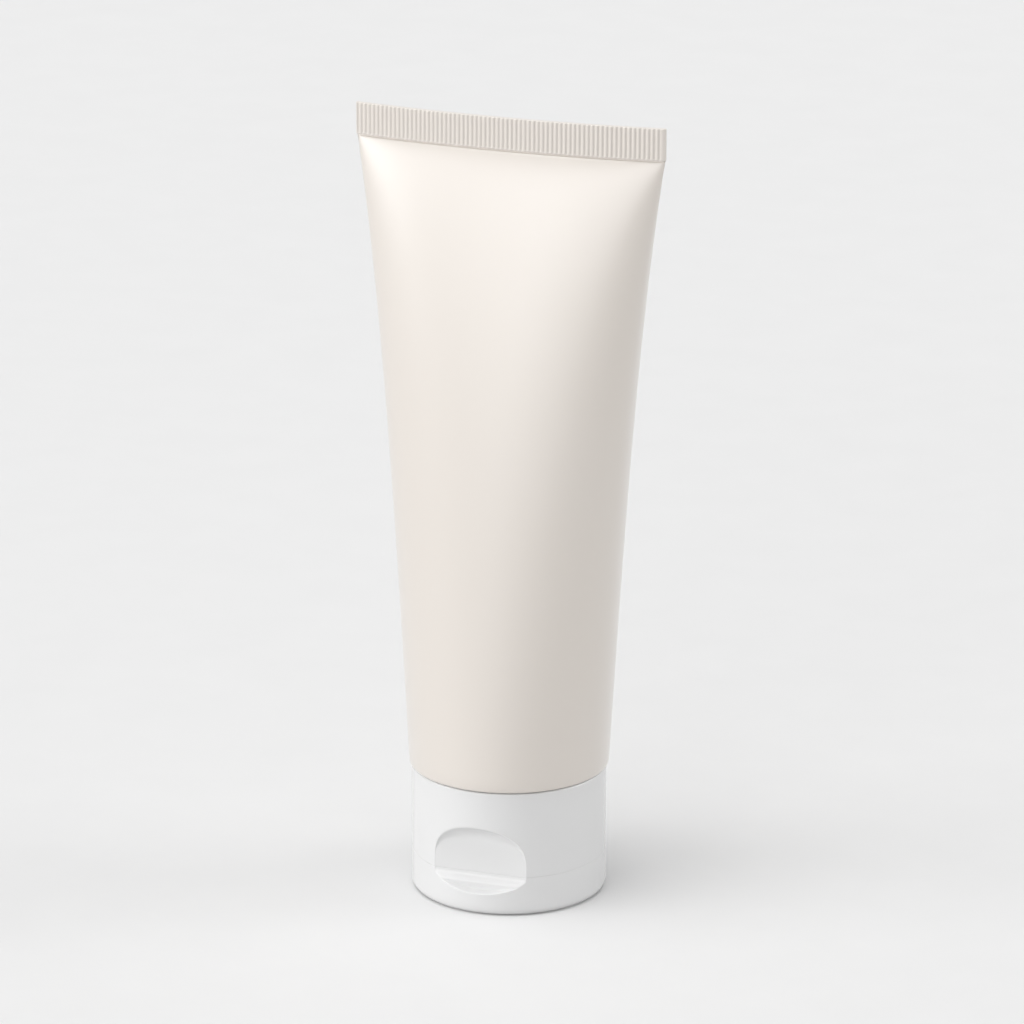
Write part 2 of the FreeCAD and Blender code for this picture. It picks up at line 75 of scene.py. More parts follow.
CAP_RADIUS = lid_ceiling.x
CAP_WALL = 1.2
CAP_TOP = cap_ceiling.z
PARTING = (film_floor.z + film_ceiling.z) / 2
SLEEVE_LOW = sleeve_floor.z
SLEEVE_TOP = sleeve_ceiling.z
CRIMP_HALF = sleeve_ceiling.x
CRIMP_HEIGHT = 6.4
CRIMP_LOW = SLEEVE_TOP - CRIMP_HEIGHT
WALL_HEIGHT = CRIMP_LOW - SLEEVE_LOW
print(f"cap {2 * CAP_RADIUS:.1f} mm wide, tube {SLEEVE_TOP:.1f} mm tall, crimp {2 * CRIMP_HALF:.1f} mm")

# %% [markdown]
# ## Building meshes from rings
# The sleeve and the cap are both made of closed rings of points stacked along a path. One helper lays
# four-sided faces between neighbouring rings, which keeps the flow of faces even and the reflections
# clean. Another turns points and faces into a smooth-shaded object whose faces all look outwards.


# %% Rings and meshes
def net(rings, joined=False):
    """Points and faces between closed rings of equal length; joined also links the last to the first."""
    count = len(rings[0])
    points = np.concatenate(rings)
    faces = []
    pairs = list(zip(range(len(rings) - 1), range(1, len(rings))))
    if joined:
        pairs.append((len(rings) - 1, 0))
    for low, high in pairs:
        for k in range(count):
            after = (k + 1) % count
            a, b = low * count, high * count
            faces.append((a + k, a + after, b + after, b + k))
    return points, faces


def ladder(start, count):
    """Faces that close a flattened ring: each point is linked to the one across the thickness."""
    half = count // 2
    faces = [(start, start + 1, start + count - 1), (start + half - 1, start + half, start + half + 1)]
    for k in range(1, half - 1):
        faces.append((start + k, start + k + 1, start + count - k - 1, start + count - k))
    return faces


def make_piece(name, points, faces, material, extra=()):
    """An object from points in millimetres; extra holds closed shells that belong to the same piece."""
    mesh = bpy.data.meshes.new(name)
    mesh.from_pydata([tuple(p) for p in np.asarray(points) * MM], [], faces)
    shape = bmesh.new()
    shape.from_mesh(mesh)
    for other in extra:
        shape.from_mesh(other)
    bmesh.ops.recalc_face_normals(shape, faces=shape.faces)
    for face in shape.faces:
        face.smooth = True
    shape.to_mesh(mesh)
    shape.free()
    mesh.materials.clear()
    mesh.materials.append(material)
    piece = bpy.data.objects.new(name, mesh)
    bpy.context.scene.collection.objects.link(piece)
    triangles = sum(len(face.vertices) - 2 for face in mesh.polygons)
    print(f"{name}: {triangles} triangles")
    return piece


# %% [markdown]
# ## Colours and nodes
# Colours are written as the hex values of a screen and turned to the linear light that the renderer
# works in. Every material is a small graph, and one function adds a node with its settings and links.


# %% Colour and node helpers
def linear(code):
    """A hex colour as the linear RGBA that Blender's sockets expect."""
    channels = [int(code[k : k + 2], 16) / 255 for k in (0, 2, 4)]
    return (*((c / 12.92 if c <= 0.04045 else ((c + 0.055) / 1.055) ** 2.4) for c in channels), 1.0)


def add(tree, kind, inputs=None, **settings):
    """Adds a node, sets its properties, and fills or links its inputs."""
    node = tree.nodes.new(kind)
    for name, value in settings.items():
        setattr(node, name, value)
    for name, value in (inputs or {}).items():
        if isinstance(value, bpy.types.NodeSocket):
            tree.links.new(value, node.inputs[name])
        else:
            node.inputs[name].default_value = value
    return node


def new_material(name):
    material = bpy.data.materials.new(name)
    material.use_nodes = True
    material.node_tree.nodes.clear()
    return material, material.node_tree


# %% [markdown]
# ## Satin sleeve
# The sleeve is polyethylene film, extruded as a tube, tinted warm beige in the mass and given a satin
# varnish. The extruder leaves long faint waves, and the varnish a fine grain. A Principled shader with
# a middling roughness gives the broad soft sheen, and two noises bend it a little at real scales.

# %% Material: satin polyethylene film
SLEEVE_HEX = "E1DAD3"
SLEEVE_HEX_DEEP = "E0D9D1"


def satin_polyethylene():
    """Extruded polyethylene film under a satin varnish: a soft wide sheen over a warm beige."""
    material, tree = new_material("satin_polyethylene_film")
    place = add(tree, "ShaderNodeTexCoord").outputs["Object"]
    # pigment clouds about two centimetres across, hardly visible
    clouds = add(tree, "ShaderNodeTexNoise", {"Vector": place, "Scale": 45.0, "Detail": 2.0})
    tint = add(tree, "ShaderNodeMix", {"Factor": clouds.outputs["Fac"]}, data_type="RGBA")
    tint.inputs["A"].default_value = linear(SLEEVE_HEX)
    tint.inputs["B"].default_value = linear(SLEEVE_HEX_DEEP)
    # the varnish's grain is finer than 0.4 mm; it also makes the sheen uneven
    grain = add(tree, "ShaderNodeTexNoise", {"Vector": place, "Scale": 2500.0, "Detail": 2.0})
    sheen = add(tree, "ShaderNodeMapRange", {"Value": grain.outputs["Fac"], "To Min": 0.28, "To Max": 0.34})
    # draw lines of the extruder run up the sleeve: 3 mm apart round it and 60 mm long
    drawn = add(tree, "ShaderNodeMapping", {"Vector": place, "Scale": (330.0, 330.0, 16.0)})
    waves = add(tree, "ShaderNodeTexNoise", {"Vector": drawn.outputs["Vector"], "Scale": 1.0, "Detail": 1.0})
    low = add(
        tree, "ShaderNodeBump", {"Height": waves.outputs["Fac"], "Strength": 0.25, "Distance": 0.00006}
    )
    fine = add(
        tree,
        "ShaderNodeBump",
        {"Height": grain.outputs["Fac"], "Strength": 0.2, "Distance": 0.00001, "Normal": low.outputs[0]},
    )
    shader = add(
        tree,
        "ShaderNodeBsdfPrincipled",
        {
            "Base Color": tint.outputs["Result"],
            "Roughness": sheen.outputs["Result"],
            "IOR": 1.51,
            "Coat Weight": 1.0,
            "Coat Roughness": 0.3,
            "Coat IOR": 1.5,
            "Coat Normal": fine.outputs["Normal"],
            "Normal": fine.outputs["Normal"],
        },
    )
    add(tree, "ShaderNodeOutputMaterial", {"Surface": shader.outputs["BSDF"]})
    return material


sleeve_material = satin_polyethylene()
print("made", sleeve_material.name)

# %% [markdown]
# ## White polypropylene
# The cap and the lid are injection-moulded polypropylene from a polished mould. The surface mirrors
# soft lights with blurred edges, and it never is quite flat: the plastic shrinks a few hundredths of a
# millimetre as it cools. A lower roughness gives the gloss, and one slow noise the shrinking.

# %% Material: moulded polypropylene
CAP_HEX = "E9E9E9"
CAP_HEX_DEEP = "E7E7E7"


def moulded_polypropylene():
    """Polypropylene from a polished mould: bright white, glossy, with faint shrink waves."""
    material, tree = new_material("moulded_white_polypropylene")
    place = add(tree, "ShaderNodeTexCoord").outputs["Object"]
    waves = add(tree, "ShaderNodeTexNoise", {"Vector": place, "Scale": 120.0, "Detail": 1.0})
    polish = add(tree, "ShaderNodeTexNoise", {"Vector": place, "Scale": 1500.0, "Detail": 3.0})
    gloss = add(tree, "ShaderNodeMapRange", {"Value": polish.outputs["Fac"], "To Min": 0.2, "To Max": 0.28})
    bend = add(
        tree, "ShaderNodeBump", {"Height": waves.outputs["Fac"], "Strength": 0.2, "Distance": 0.00008}
    )
    white = add(tree, "ShaderNodeMix", {"Factor": waves.outputs["Fac"]}, data_type="RGBA")
    white.inputs["A"].default_value = linear(CAP_HEX)
    white.inputs["B"].default_value = linear(CAP_HEX_DEEP)
    shader = add(
        tree,
        "ShaderNodeBsdfPrincipled",
        {
            "Base Color": white.outputs["Result"],
            "Roughness": gloss.outputs["Result"],
            "IOR": 1.49,
            "Normal": bend.outputs["Normal"],
        },
    )
    add(tree, "ShaderNodeOutputMaterial", {"Surface": shader.outputs["BSDF"]})
    return material


cap_material = moulded_polypropylene()
print("made", cap_material.name)

# %% [markdown]
# ## Sections of the sleeve
# A squeeze tube starts as a straight round pipe, so its girth stays nearly the same all the way up:
# where pressing the end flat makes it wider, it gets shallower. Each section is an ellipse that turns
# a little squarer towards the crimp. Its half width follows a gentle law of height, and its half depth
# is found from the girth. Points are spread evenly along the girth so that no face is stretched.

# %% The law of the sleeve
ROUND_RADIUS = 20.2
ROOT_STEP = 0.15
ROOT_HALF_THICKNESS = 0.3
ROOT_HALF = CRIMP_HALF - ROOT_STEP
LEAST_HALF_DEPTH = 0.1
# the half width grows steadily for most of its gain, and flares near the crimp for the rest
STEADY_GAIN = 0.727
FLARE_GAIN = 0.273
FLARE_POWER = 3.9
SQUARENESS = 0.8
CRIMP_BOW = 2.3
BOW_POWER = 6
COLUMNS = 284
GIRTH_POINTS = 1440
SPREAD_POINTS = 10 * COLUMNS
HALVINGS = 40


def outline(half_width, half_depth, exponent, count):
    """Points round a section: an ellipse for exponent 2, squarer above it."""
    angle = np.arange(count) * 2 * np.pi / count
    c, s = np.cos(angle), np.sin(angle)
    x = half_width * np.sign(c) * np.abs(c) ** (2 / exponent)
    y = half_depth * np.sign(s) * np.abs(s) ** (2 / exponent)
    return x, y


def girth(half_width, half_depth, exponent):
    """The way round a section."""
    x, y = outline(half_width, half_depth, exponent, GIRTH_POINTS)
    return np.hypot(np.diff(x, append=x[0]), np.diff(y, append=y[0])).sum()


def section(share):
    """Half width, half depth, exponent and bow at a share of the sleeve's height."""
    widening = STEADY_GAIN * share + FLARE_GAIN * share**FLARE_POWER
    half_width = ROUND_RADIUS + (ROOT_HALF - ROUND_RADIUS) * widening
    exponent = 2 + SQUARENESS * share**2
    wanted = 2 * math.pi * ROUND_RADIUS * (1 - share) + 4 * ROOT_HALF * share
    # halve the range of possible half depths until the girth comes out right
    low, high = ROOT_HALF_THICKNESS, half_width * 1.2
    for _ in range(HALVINGS):
        middle = (low + high) / 2
        if girth(half_width, middle, exponent) < wanted:
            low = middle
        else:
            high = middle
    return half_width, low, exponent, CRIMP_BOW * share**BOW_POWER


def sleeve_ring(share, inset, pinch=0.0):
    """One ring of evenly spread points, drawn in by inset, at a share of the sleeve's height."""
    half_width, half_depth, exponent, bow = section(share)
    depth = max(half_depth - inset - pinch, LEAST_HALF_DEPTH)
    x, y = outline(half_width - inset, depth, exponent, SPREAD_POINTS)
    x, y = np.append(x, x[0]), np.append(y, y[0])
    along = np.concatenate([[0], np.cumsum(np.hypot(np.diff(x), np.diff(y)))])
    spots = np.arange(COLUMNS) / COLUMNS * along[-1]
    x, y = np.interp(spots, along, x), np.interp(spots, along, y)
    y = y - bow * (1 - (x / half_width) ** 2)
    z = SLEEVE_LOW + WALL_HEIGHT * share
    return np.stack([x, y, np.full(COLUMNS, z)], axis=1)


print("section half way up:", [round(v, 2) for v in section(0.5)])

# %% [markdown]
# ## The ribbed crimp
# Hot ribbed jaws weld the open end of the sleeve shut, and a blade trims it. They leave a flat strip
# with upright ribs, and a pressed groove below it. The ribs run out at the left end, and the right end
# is a plain rounded fold. The ribs are real geometry, eight columns of faces to a rib: bump alone would
# leave the edge of the strip straight. Four columns of the strip stand on each column of the wall.

# %% The strip's rings
RIBS = 70
RIB_SHIFT = 0.2
RIB_HEIGHT = 0.2
TROUGH_POWER = 1.5
FINE = 4 * COLUMNS
STRIP_HALF_THICKNESS = 0.5
END_COLUMNS = 4
END_POWER = 0.9
END_DRAW_IN = 0.6
LEFT_ROUNDING = 0.3
RIGHT_ROUNDING = 0.95
# rise above the groove, half thickness, and how far the ribs stand out, from 0 to 1
STRIP_PROFILE = (
    (0.0, 0.2, 0.0),
    (-0.02, 0.36, 0.0),
    (0.01, 0.45, 0.0),
    (0.08, 0.495, 0.0),
    (0.16, 0.5, 0.15),
    (0.26, 0.5, 0.6),
    (0.38, 0.5, 0.9),
    (0.55, 0.5, 1.0),
    (2.2, 0.5, 1.0),
    (3.6, 0.5, 1.0),
    (5.0, 0.5, 1.0),
    (6.0, 0.5, 1.0),
    (6.15, 0.5, 0.95),
    (6.25, 0.5, 0.85),
    (6.32, 0.49, 0.7),
    (6.36, 0.46, 0.5),
    (6.39, 0.41, 0.3),
    (6.4, 0.33, 0.1),
    (6.4, 0.22, 0.0),
)


def strip_ring(height, half_thickness, rib_share):
    """A ring round the strip at a height; rib_share scales the ribs from 0 to 1."""
    face = FINE // 2 - 2 * END_COLUMNS
    end = CRIMP_HALF - END_DRAW_IN * (STRIP_HALF_THICKNESS - half_thickness)
    right, left = end - RIGHT_ROUNDING, LEFT_ROUNDING - end
    turn = np.arange(END_COLUMNS) / END_COLUMNS * np.pi / 2
    round_x, round_y = np.cos(turn) ** END_POWER, np.sin(turn) ** END_POWER
    x = np.concatenate([right + RIGHT_ROUNDING * round_x, np.linspace(right, left, face + 1)])
    x = np.concatenate([x, left - LEFT_ROUNDING * round_x[:0:-1]])
    y = np.concatenate([round_y, np.ones(face + 1), round_y[:0:-1]])
    # the other face mirrors the first one, from the left end back to the right end
    x, y = np.concatenate([x, [-end], x[:0:-1]]), np.concatenate([y, [0.0], -y[:0:-1]])
    # round crests with narrower troughs between them
    swing = np.cos((x - RIB_SHIFT) * 2 * np.pi * RIBS / (2 * CRIMP_HALF))
    wave = 1 - 2 * (0.5 - 0.5 * swing) ** TROUGH_POWER
    middle = -CRIMP_BOW * (1 - np.clip(np.abs(x) / CRIMP_HALF, 0, 1) ** 2)
    ribs = rib_share * wave * RIB_HEIGHT / 2
    # only the two flat faces carry ribs, not the rounded ends
    y = np.where(np.abs(y) > 0.999, np.sign(y) * (half_thickness + ribs), y * half_thickness)
    return np.stack([x, y + middle, np.full(FINE, height)], axis=1)


def strip_rings():
    """Out of the groove, round the lower edge, up the ribbed faces and over the top."""
    return [strip_ring(CRIMP_LOW + rise, half, ribs) for rise, half, ribs in STRIP_PROFILE]


print("ribs:", RIBS, "pitch", round(2 * CRIMP_HALF / RIBS, 2), "mm")

# %% [markdown]
# ## One closed skin for the sleeve
# The skin starts at the inside of the crimp, runs down the inner wall, turns in over the shoulder,
# runs up the outside, steps out of the groove into the strip and closes over the top. The wall is
# 0.5 mm thick all the way, as on the real tube, although only the outside shows.

# %% The sleeve
WALL = 0.5
TURN_IN = 18.9
EDGE = 0.45
EDGE_ROWS = 6
CAVITY_TOP = 0.98
CAVITY_LOW = 0.02
CAVITY_ROWS = 16
WALL_ROWS = 110
CROWDING = 1.6
GROOVE = 0.42
GROOVE_MARGIN = 0.15
GROOVE_DEPTH = 0.44
# distance below the strip and depth, as shares of the groove's height and depth
GROOVE_ROWS = ((1.15, 0.0), (1.0, 0.12), (0.85, 0.5), (0.7, 0.88), (0.5, 1.0), (0.25, 1.0), (0.0, 1.0))


def circle_ring(radius, height):
    """A round ring with the sleeve's number of points."""
    angle = np.arange(COLUMNS) * 2 * np.pi / COLUMNS
    return np.stack([radius * np.cos(angle), radius * np.sin(angle), np.full(COLUMNS, height)], axis=1)


def sleeve_rings():
    """Down the inner wall, round the turned-in end and up the outside into the groove."""
    rings = [sleeve_ring(share, WALL) for share in np.linspace(CAVITY_TOP, CAVITY_LOW, CAVITY_ROWS)]
    rings += [circle_ring(ROUND_RADIUS - WALL, SLEEVE_LOW + WALL)]
    rings += [circle_ring(TURN_IN, SLEEVE_LOW + WALL), circle_ring(TURN_IN, SLEEVE_LOW)]
    for turn in np.linspace(0, np.pi / 2, EDGE_ROWS):
        radius, height = ROUND_RADIUS - EDGE * (1 - np.sin(turn)), SLEEVE_LOW + EDGE * (1 - np.cos(turn))
        rings.append(circle_ring(radius, height))
    first = EDGE / WALL_HEIGHT
    # the rings stand closer together towards the crimp, where the form changes faster
    steps = np.arange(1, WALL_ROWS - 1) / WALL_ROWS
    for share in first + (1 - first) * (1 - (1 - steps) ** CROWDING):
        if share < 1 - (GROOVE + GROOVE_MARGIN) / WALL_HEIGHT:
            rings.append(sleeve_ring(share, 0))
    # the jaw's edge presses a groove just below the strip
    for below, pinch in GROOVE_ROWS:
        rings.append(sleeve_ring(1 - below * GROOVE / WALL_HEIGHT, 0, pinch * GROOVE_DEPTH))
    return rings


points, faces = net(sleeve_rings())
faces += ladder(0, COLUMNS)
last = len(points) - COLUMNS
crimp_points, crimp_faces = net(strip_rings())
shift = len(points)
# each column of the wall is joined to the four columns of the strip that stand on it
for k in range(COLUMNS):
    fine = [shift + (4 * k + step) % FINE for step in range(5)]
    faces.append((last + k, last + (k + 1) % COLUMNS, *fine[::-1]))
faces += [tuple(shift + corner for corner in face) for face in crimp_faces]
faces += ladder(shift + len(crimp_points) - FINE, FINE)
sleeve = make_piece("sleeve", np.concatenate([points, crimp_points]), faces, sleeve_material)

# %% [markdown]
# ## Profiles with mould radii
# Both halves of the cap are turned shapes. A profile is a list of corners, each with its own radius,
# because no moulded edge is really sharp: the radius is what catches a line of light. A corner can
# also ask for short steps in the run that follows it, where the thumb recess will bend the wall.

# %% Rounded profiles
ARC_STEP = 0.12


def rounded(corners, closed):
    """Points along a profile of (radius, height, rounding, step) corners."""
    spots = [np.array(corner[:2], float) for corner in corners]
    count = len(spots)
    path = []
    for k, corner in enumerate(corners):
        here, rounding, step_before = spots[k], corner[2], corners[k - 1][3]
        ends = not closed and k in (0, count - 1)
        if ends or rounding == 0:
            arc = [here]
        else:
            back, ahead = spots[k - 1] - here, spots[(k + 1) % count] - here
            back, ahead = back / np.linalg.norm(back), ahead / np.linalg.norm(ahead)
            half = math.acos(float(np.clip(back @ ahead, -1, 1))) / 2
            reach, depth = rounding / math.tan(half), rounding / math.sin(half)
            middle = here + (back + ahead) / np.linalg.norm(back + ahead) * depth
            parts = max(3, round(rounding / ARC_STEP))
            first, last_one = here + back * reach - middle, here + ahead * reach - middle
            angle = math.pi - 2 * half
            arc = []
            for share in np.linspace(0, 1, parts + 1):
                a, b = math.sin((1 - share) * angle), math.sin(share * angle)
                arc.append(middle + (first * a + last_one * b) / math.sin(angle))
        if path and step_before > 0:
            start = path[-1]
            pieces = max(1, round(np.linalg.norm(arc[0] - start) / step_before))
            path += [start + (arc[0] - start) * share for share in np.arange(1, pieces) / pieces]
        path += arc
    return np.array(path)


# azimuths in degrees from the front: the recess, its steep sides, and the hinge behind
RECESS_SPAN = 27.5
SIDE_SPAN = 33
HINGE_FROM = 158
HINGE_TO = 202
RECESS_STEP = 0.3
SIDE_STEP = 0.12
PLAIN_COLUMNS = 80
HINGE_COLUMNS = 60


def turning_angles():
    """Azimuths from the front, close together where the recess and the hinge are."""
    parts = [
        np.arange(-SIDE_SPAN, -RECESS_SPAN, SIDE_STEP),
        np.arange(-RECESS_SPAN, RECESS_SPAN, RECESS_STEP),
        np.arange(RECESS_SPAN, SIDE_SPAN, SIDE_STEP),
        np.linspace(SIDE_SPAN, HINGE_FROM, PLAIN_COLUMNS, endpoint=False),
        np.linspace(HINGE_FROM, HINGE_TO, HINGE_COLUMNS, endpoint=False),
        np.linspace(HINGE_TO, 360 - SIDE_SPAN, PLAIN_COLUMNS, endpoint=False),
    ]
    return np.radians(np.concatenate(parts))


AZIMUTHS = turning_angles()
print("columns round the cap:", len(AZIMUTHS))

# %% [markdown]
# ## The thumb recess
# A thumb gets under the lid through a shallow recess that crosses the parting line. In the cap it is
# a flat floor, which almost runs out into the round wall at both sides and is covered by a wide cove
# at the top. In the lid the floor curves outwards as a hollow ramp up to the crest of a lip. Under the
# crest a small face leans back in, and a shallow arc ends it. All of it is one height field: how far
# the wall is pushed in at a place across and up the front. The lower of two surfaces wins, the floor
# or the slanted side that starts at the outline, and a soft minimum rounds where they meet.

# %% The recess as a height field
RECESS_HALF = 9.7
RECESS_TOP = 18.65
RECESS_SHOULDER = 16.0
CORNER_BLEND = 4.8
FLOOR_REACH = 17.08
LIP_REACH = 17.95
RAMP_TOP = 7.9
RAMP_CURVE = 0.33
LIP_HEIGHT = 6.1
UNDERCUT = 0.24
SCOOP_LOW = 4.4
SCOOP_RISE = 2.3
TOP_SLOPE = 2.3
SIDE_SLOPE = 3.0
SCOOP_SLOPE = 5.0
TOP_COVE = 5.4
SIDE_COVE = 0.3
SCOOP_COVE = 1.6
CREST_BLEND = 0.2
OUTLINE_BLEND = 0.25
SIDEWAYS_BLEND = 3.5


def ease(low, high, value):
    """A smooth step from 0 at low to 1 at high."""
    share = np.clip((value - low) / (high - low), 0, 1)
    return share * share * (3 - 2 * share)


def soft_min(a, b, width):
    """The smaller of two values, rounded over a width where they cross."""
    blend = np.maximum(width - np.abs(a - b), 0) / width
    return np.minimum(a, b) - blend**2 * width / 4


def soft_max(a, b, width):
    """The larger of two values, rounded in the same way."""
    return -soft_min(-a, -b, width)


def floor_reach(z):
    """Distance from the axis plane to the floor of the recess, at a height."""
    ramp = FLOOR_REACH + RAMP_CURVE * np.maximum(RAMP_TOP - z, 0) ** 2
    lip = LIP_REACH - UNDERCUT * np.maximum(LIP_HEIGHT - z, 0)
    return soft_min(ramp, lip, CREST_BLEND)


def under_arch(x, z):
    """Distance under the upper edge, which is an arc."""
    rise = RECESS_TOP - RECESS_SHOULDER
    radius = (RECESS_HALF**2 + rise**2) / (2 * rise)
    return radius - np.hypot(x, z - RECESS_TOP + radius)


def inside_scoop(x, z):
    """Distance above the shallow arc that ends the scoop."""
    arc = SCOOP_LOW + SCOOP_RISE * (x / RECESS_HALF) ** 2
    return (z - arc) / np.hypot(1, 2 * SCOOP_RISE * x / RECESS_HALF**2)


def recess_depth(x, z):
    """How far the front wall is pushed in."""
    bulge = np.sqrt(np.maximum(CAP_RADIUS**2 - x**2, 0))
    below, beside = under_arch(x, z), RECESS_HALF - np.abs(x)
    # the top runs in as a wide cove, the two sides are steep and tight
    sideways = ease(-SIDEWAYS_BLEND, SIDEWAYS_BLEND, below - beside)
    slope = TOP_SLOPE + (SIDE_SLOPE - TOP_SLOPE) * sideways
    cove = TOP_COVE + (SIDE_COVE - TOP_COVE) * sideways
    wall = soft_min(below, beside, CORNER_BLEND) * slope
    side = soft_min(wall, inside_scoop(x, z) * SCOOP_SLOPE, SCOOP_COVE)
    return soft_max(soft_min(bulge - floor_reach(z), side, cove), 0, OUTLINE_BLEND)


print("recess in the middle:", round(float(recess_depth(0.0, 12.0)), 2), "mm deep")

# %% [markdown]
# ## Turning the cap and the lid
# Each profile is turned round the axis, then the front is pushed in. The outer wall moves by the full
# depth. The inner wall moves to a flat behind the recess, so the wall keeps its thickness, as it does
# in the mould. The ring that centres the lid sinks into the deck in front, where the lip is solid.
# Two small pads at the back, one on the cap and one on the lid, carry the hinge film between them.

# %% Turned shapes
PAD_HALF = 6.0
PAD_ROOT = 18.55
PAD_FACE = 20.05
PAD_HEIGHT = 2.5
PAD_ROUNDING = 0.2
FILM_REACH = PARTING - film_floor.z
BACK_REACH = 15.7
BACK_TOP = 19.4
BACK_FADE = 0.5
BACK_DRAFT = 0.05
BACK_RISE = 0.4


def turned(profile, azimuths):
    """Rings of x, y, z and radius: one ring for each point of the profile."""
    radius, height = profile[:, :1], profile[:, 1:]
    x, y = radius * np.sin(azimuths), -radius * np.cos(azimuths)
    return x, y, np.broadcast_to(height, x.shape).copy(), np.broadcast_to(radius, x.shape)


def flat_behind(y, z, low):
    """The inner wall, held to a flat behind the recess."""
    strength = ease(low, low + BACK_RISE, z) * (1 - ease(BACK_TOP - BACK_FADE, BACK_TOP + BACK_FADE, z))
    held = np.where(y < -BACK_REACH, -BACK_REACH + BACK_DRAFT * (y + BACK_REACH), y)
    return y + (held - y) * strength


def rings_of(x, y, z):
    """The rings as lists of points."""
    return [np.stack([x[k], y[k], z[k]], axis=1) for k in range(len(x))]


def slab(low, high, rounding):
    """A rounded block, used for the pads that carry the hinge film."""
    shape = bmesh.new()
    bmesh.ops.create_cube(shape, size=1)
    size_of, centre = (Vector(high) - Vector(low)) * MM, (Vector(high) + Vector(low)) / 2 * MM
    bmesh.ops.scale(shape, vec=size_of, verts=shape.verts)
    bmesh.ops.translate(shape, vec=centre, verts=shape.verts)
    bmesh.ops.bevel(
        shape, geom=shape.edges[:], offset=rounding * MM, segments=3, profile=0.5, affect="EDGES"
    )
    mesh = bpy.data.meshes.new("slab")
    shape.to_mesh(mesh)
    shape.free()
    return mesh


# %% [markdown]
# ## The cap's base
# The base is one moulding. Its deck lies just above the parting line and carries, from the axis
# outwards, the spout with the orifice, a ring that seals against the neck's end, the collar that goes
# round the neck, and the outer wall. On the lid's side a low ring centres the lid. Each corner below
# gives the radius and the height, then the mould radius and the step of the run that follows.

# %% The cap's base
PARTING_ROUNDING = 0.045
DECK = 1.4
DECK_TOP = PARTING + DECK
ORIFICE_RADIUS = 1.5
SPOUT_RADIUS = 3.4
SPOUT_LOW = PARTING - 2.4
SEAL_INSIDE = 6.6
SEAL_OUTSIDE = 7.4
SEAL_TOP = 10.65
COLLAR_INSIDE = 10.6
COLLAR_OUTSIDE = 11.8
COLLAR_TOP = 20.0
RING_INSIDE = 17.35
RING_OUTSIDE = 18.25
RING_LOW = PARTING - 1.3
RING_GAP = math.radians(34.5)
RING_RUN_OUT = 0.04
RING_LEFT_OVER = 0.02
RING_MARGIN = 0.5
ABOVE_RECESS = 18.9
PUSHED_FROM = 12.2
SLACK = 0.05
ABOVE_PARTING = 0.3
inner = CAP_RADIUS - CAP_WALL
cap_profile = rounded(
    [
        (ORIFICE_RADIUS, SPOUT_LOW, 0.25, 0),
        (SPOUT_RADIUS, SPOUT_LOW, 0.5, 0),
        (SPOUT_RADIUS, PARTING, 0.3, 3),
        (RING_INSIDE, PARTING, 0.2, 0),
        (RING_INSIDE, RING_LOW, 0.2, 0),
        (RING_OUTSIDE, RING_LOW, 0.3, 0),
        (RING_OUTSIDE, PARTING, 0.12, 0),
        (CAP_RADIUS, PARTING, PARTING_ROUNDING, 0.16),
        (CAP_RADIUS, ABOVE_RECESS, 0, 1.2),
        (CAP_RADIUS, CAP_TOP, 0.35, 0),
        (inner, CAP_TOP, 0.2, 1.0),
        (inner, DECK_TOP, 0.5, 3),
        (COLLAR_OUTSIDE, DECK_TOP, 0.3, 0),
        (COLLAR_OUTSIDE, COLLAR_TOP, 0.3, 0),
        (COLLAR_INSIDE, COLLAR_TOP, 0.3, 0),
        (COLLAR_INSIDE, DECK_TOP, 0.3, 0),
        (SEAL_OUTSIDE, DECK_TOP, 0.2, 0),
        (SEAL_OUTSIDE, SEAL_TOP, 0.15, 0),
        (SEAL_INSIDE, SEAL_TOP, 0.15, 0),
        (SEAL_INSIDE, DECK_TOP, 0.2, 0),
        (ORIFICE_RADIUS, DECK_TOP, 0.25, 0),
    ],
    closed=True,
)
x, y, z, radius = turned(cap_profile, AZIMUTHS)
turn = np.abs(np.arctan2(x, -y))
# the push grows from nothing beside the collar to the full depth at the outer wall
share_out = np.clip((radius - PUSHED_FROM) / (CAP_RADIUS - PUSHED_FROM), 0, 1)
pushed = np.where(y < 0, recess_depth(x, z) * share_out, 0)
# above the parting line, the inside of the outer wall is held to the flat behind the recess
behind = (radius < inner + SLACK) & (z > PARTING + ABOVE_PARTING)
y = np.where(behind, flat_behind(y, z, PARTING), y + pushed)
ring = (z < PARTING) & (radius > RING_INSIDE - RING_MARGIN) & (radius < RING_OUTSIDE + SLACK)
sink = RING_LEFT_OVER + (1 - RING_LEFT_OVER) * ease(RING_GAP, RING_GAP + RING_RUN_OUT, turn)
z = np.where(ring, PARTING - (PARTING - z) * sink, z)
points, faces = net(rings_of(x, y, z), joined=True)
pad = slab(
    (-PAD_HALF, PAD_ROOT, PARTING + FILM_REACH),
    (PAD_HALF, PAD_FACE, PARTING + FILM_REACH + PAD_HEIGHT),
    PAD_ROUNDING,
)
cap = make_piece("cap", points, faces, cap_material, [pad])

# %% [markdown]
# ## The flip lid
# The lid is a shallow cup on which the tube stands. Its wall stops a hair below the parting line, and a
# pin in the middle plugs the orifice. The profile starts and ends on the axis, so both ends are closed
# with a fan of triangles round one point.

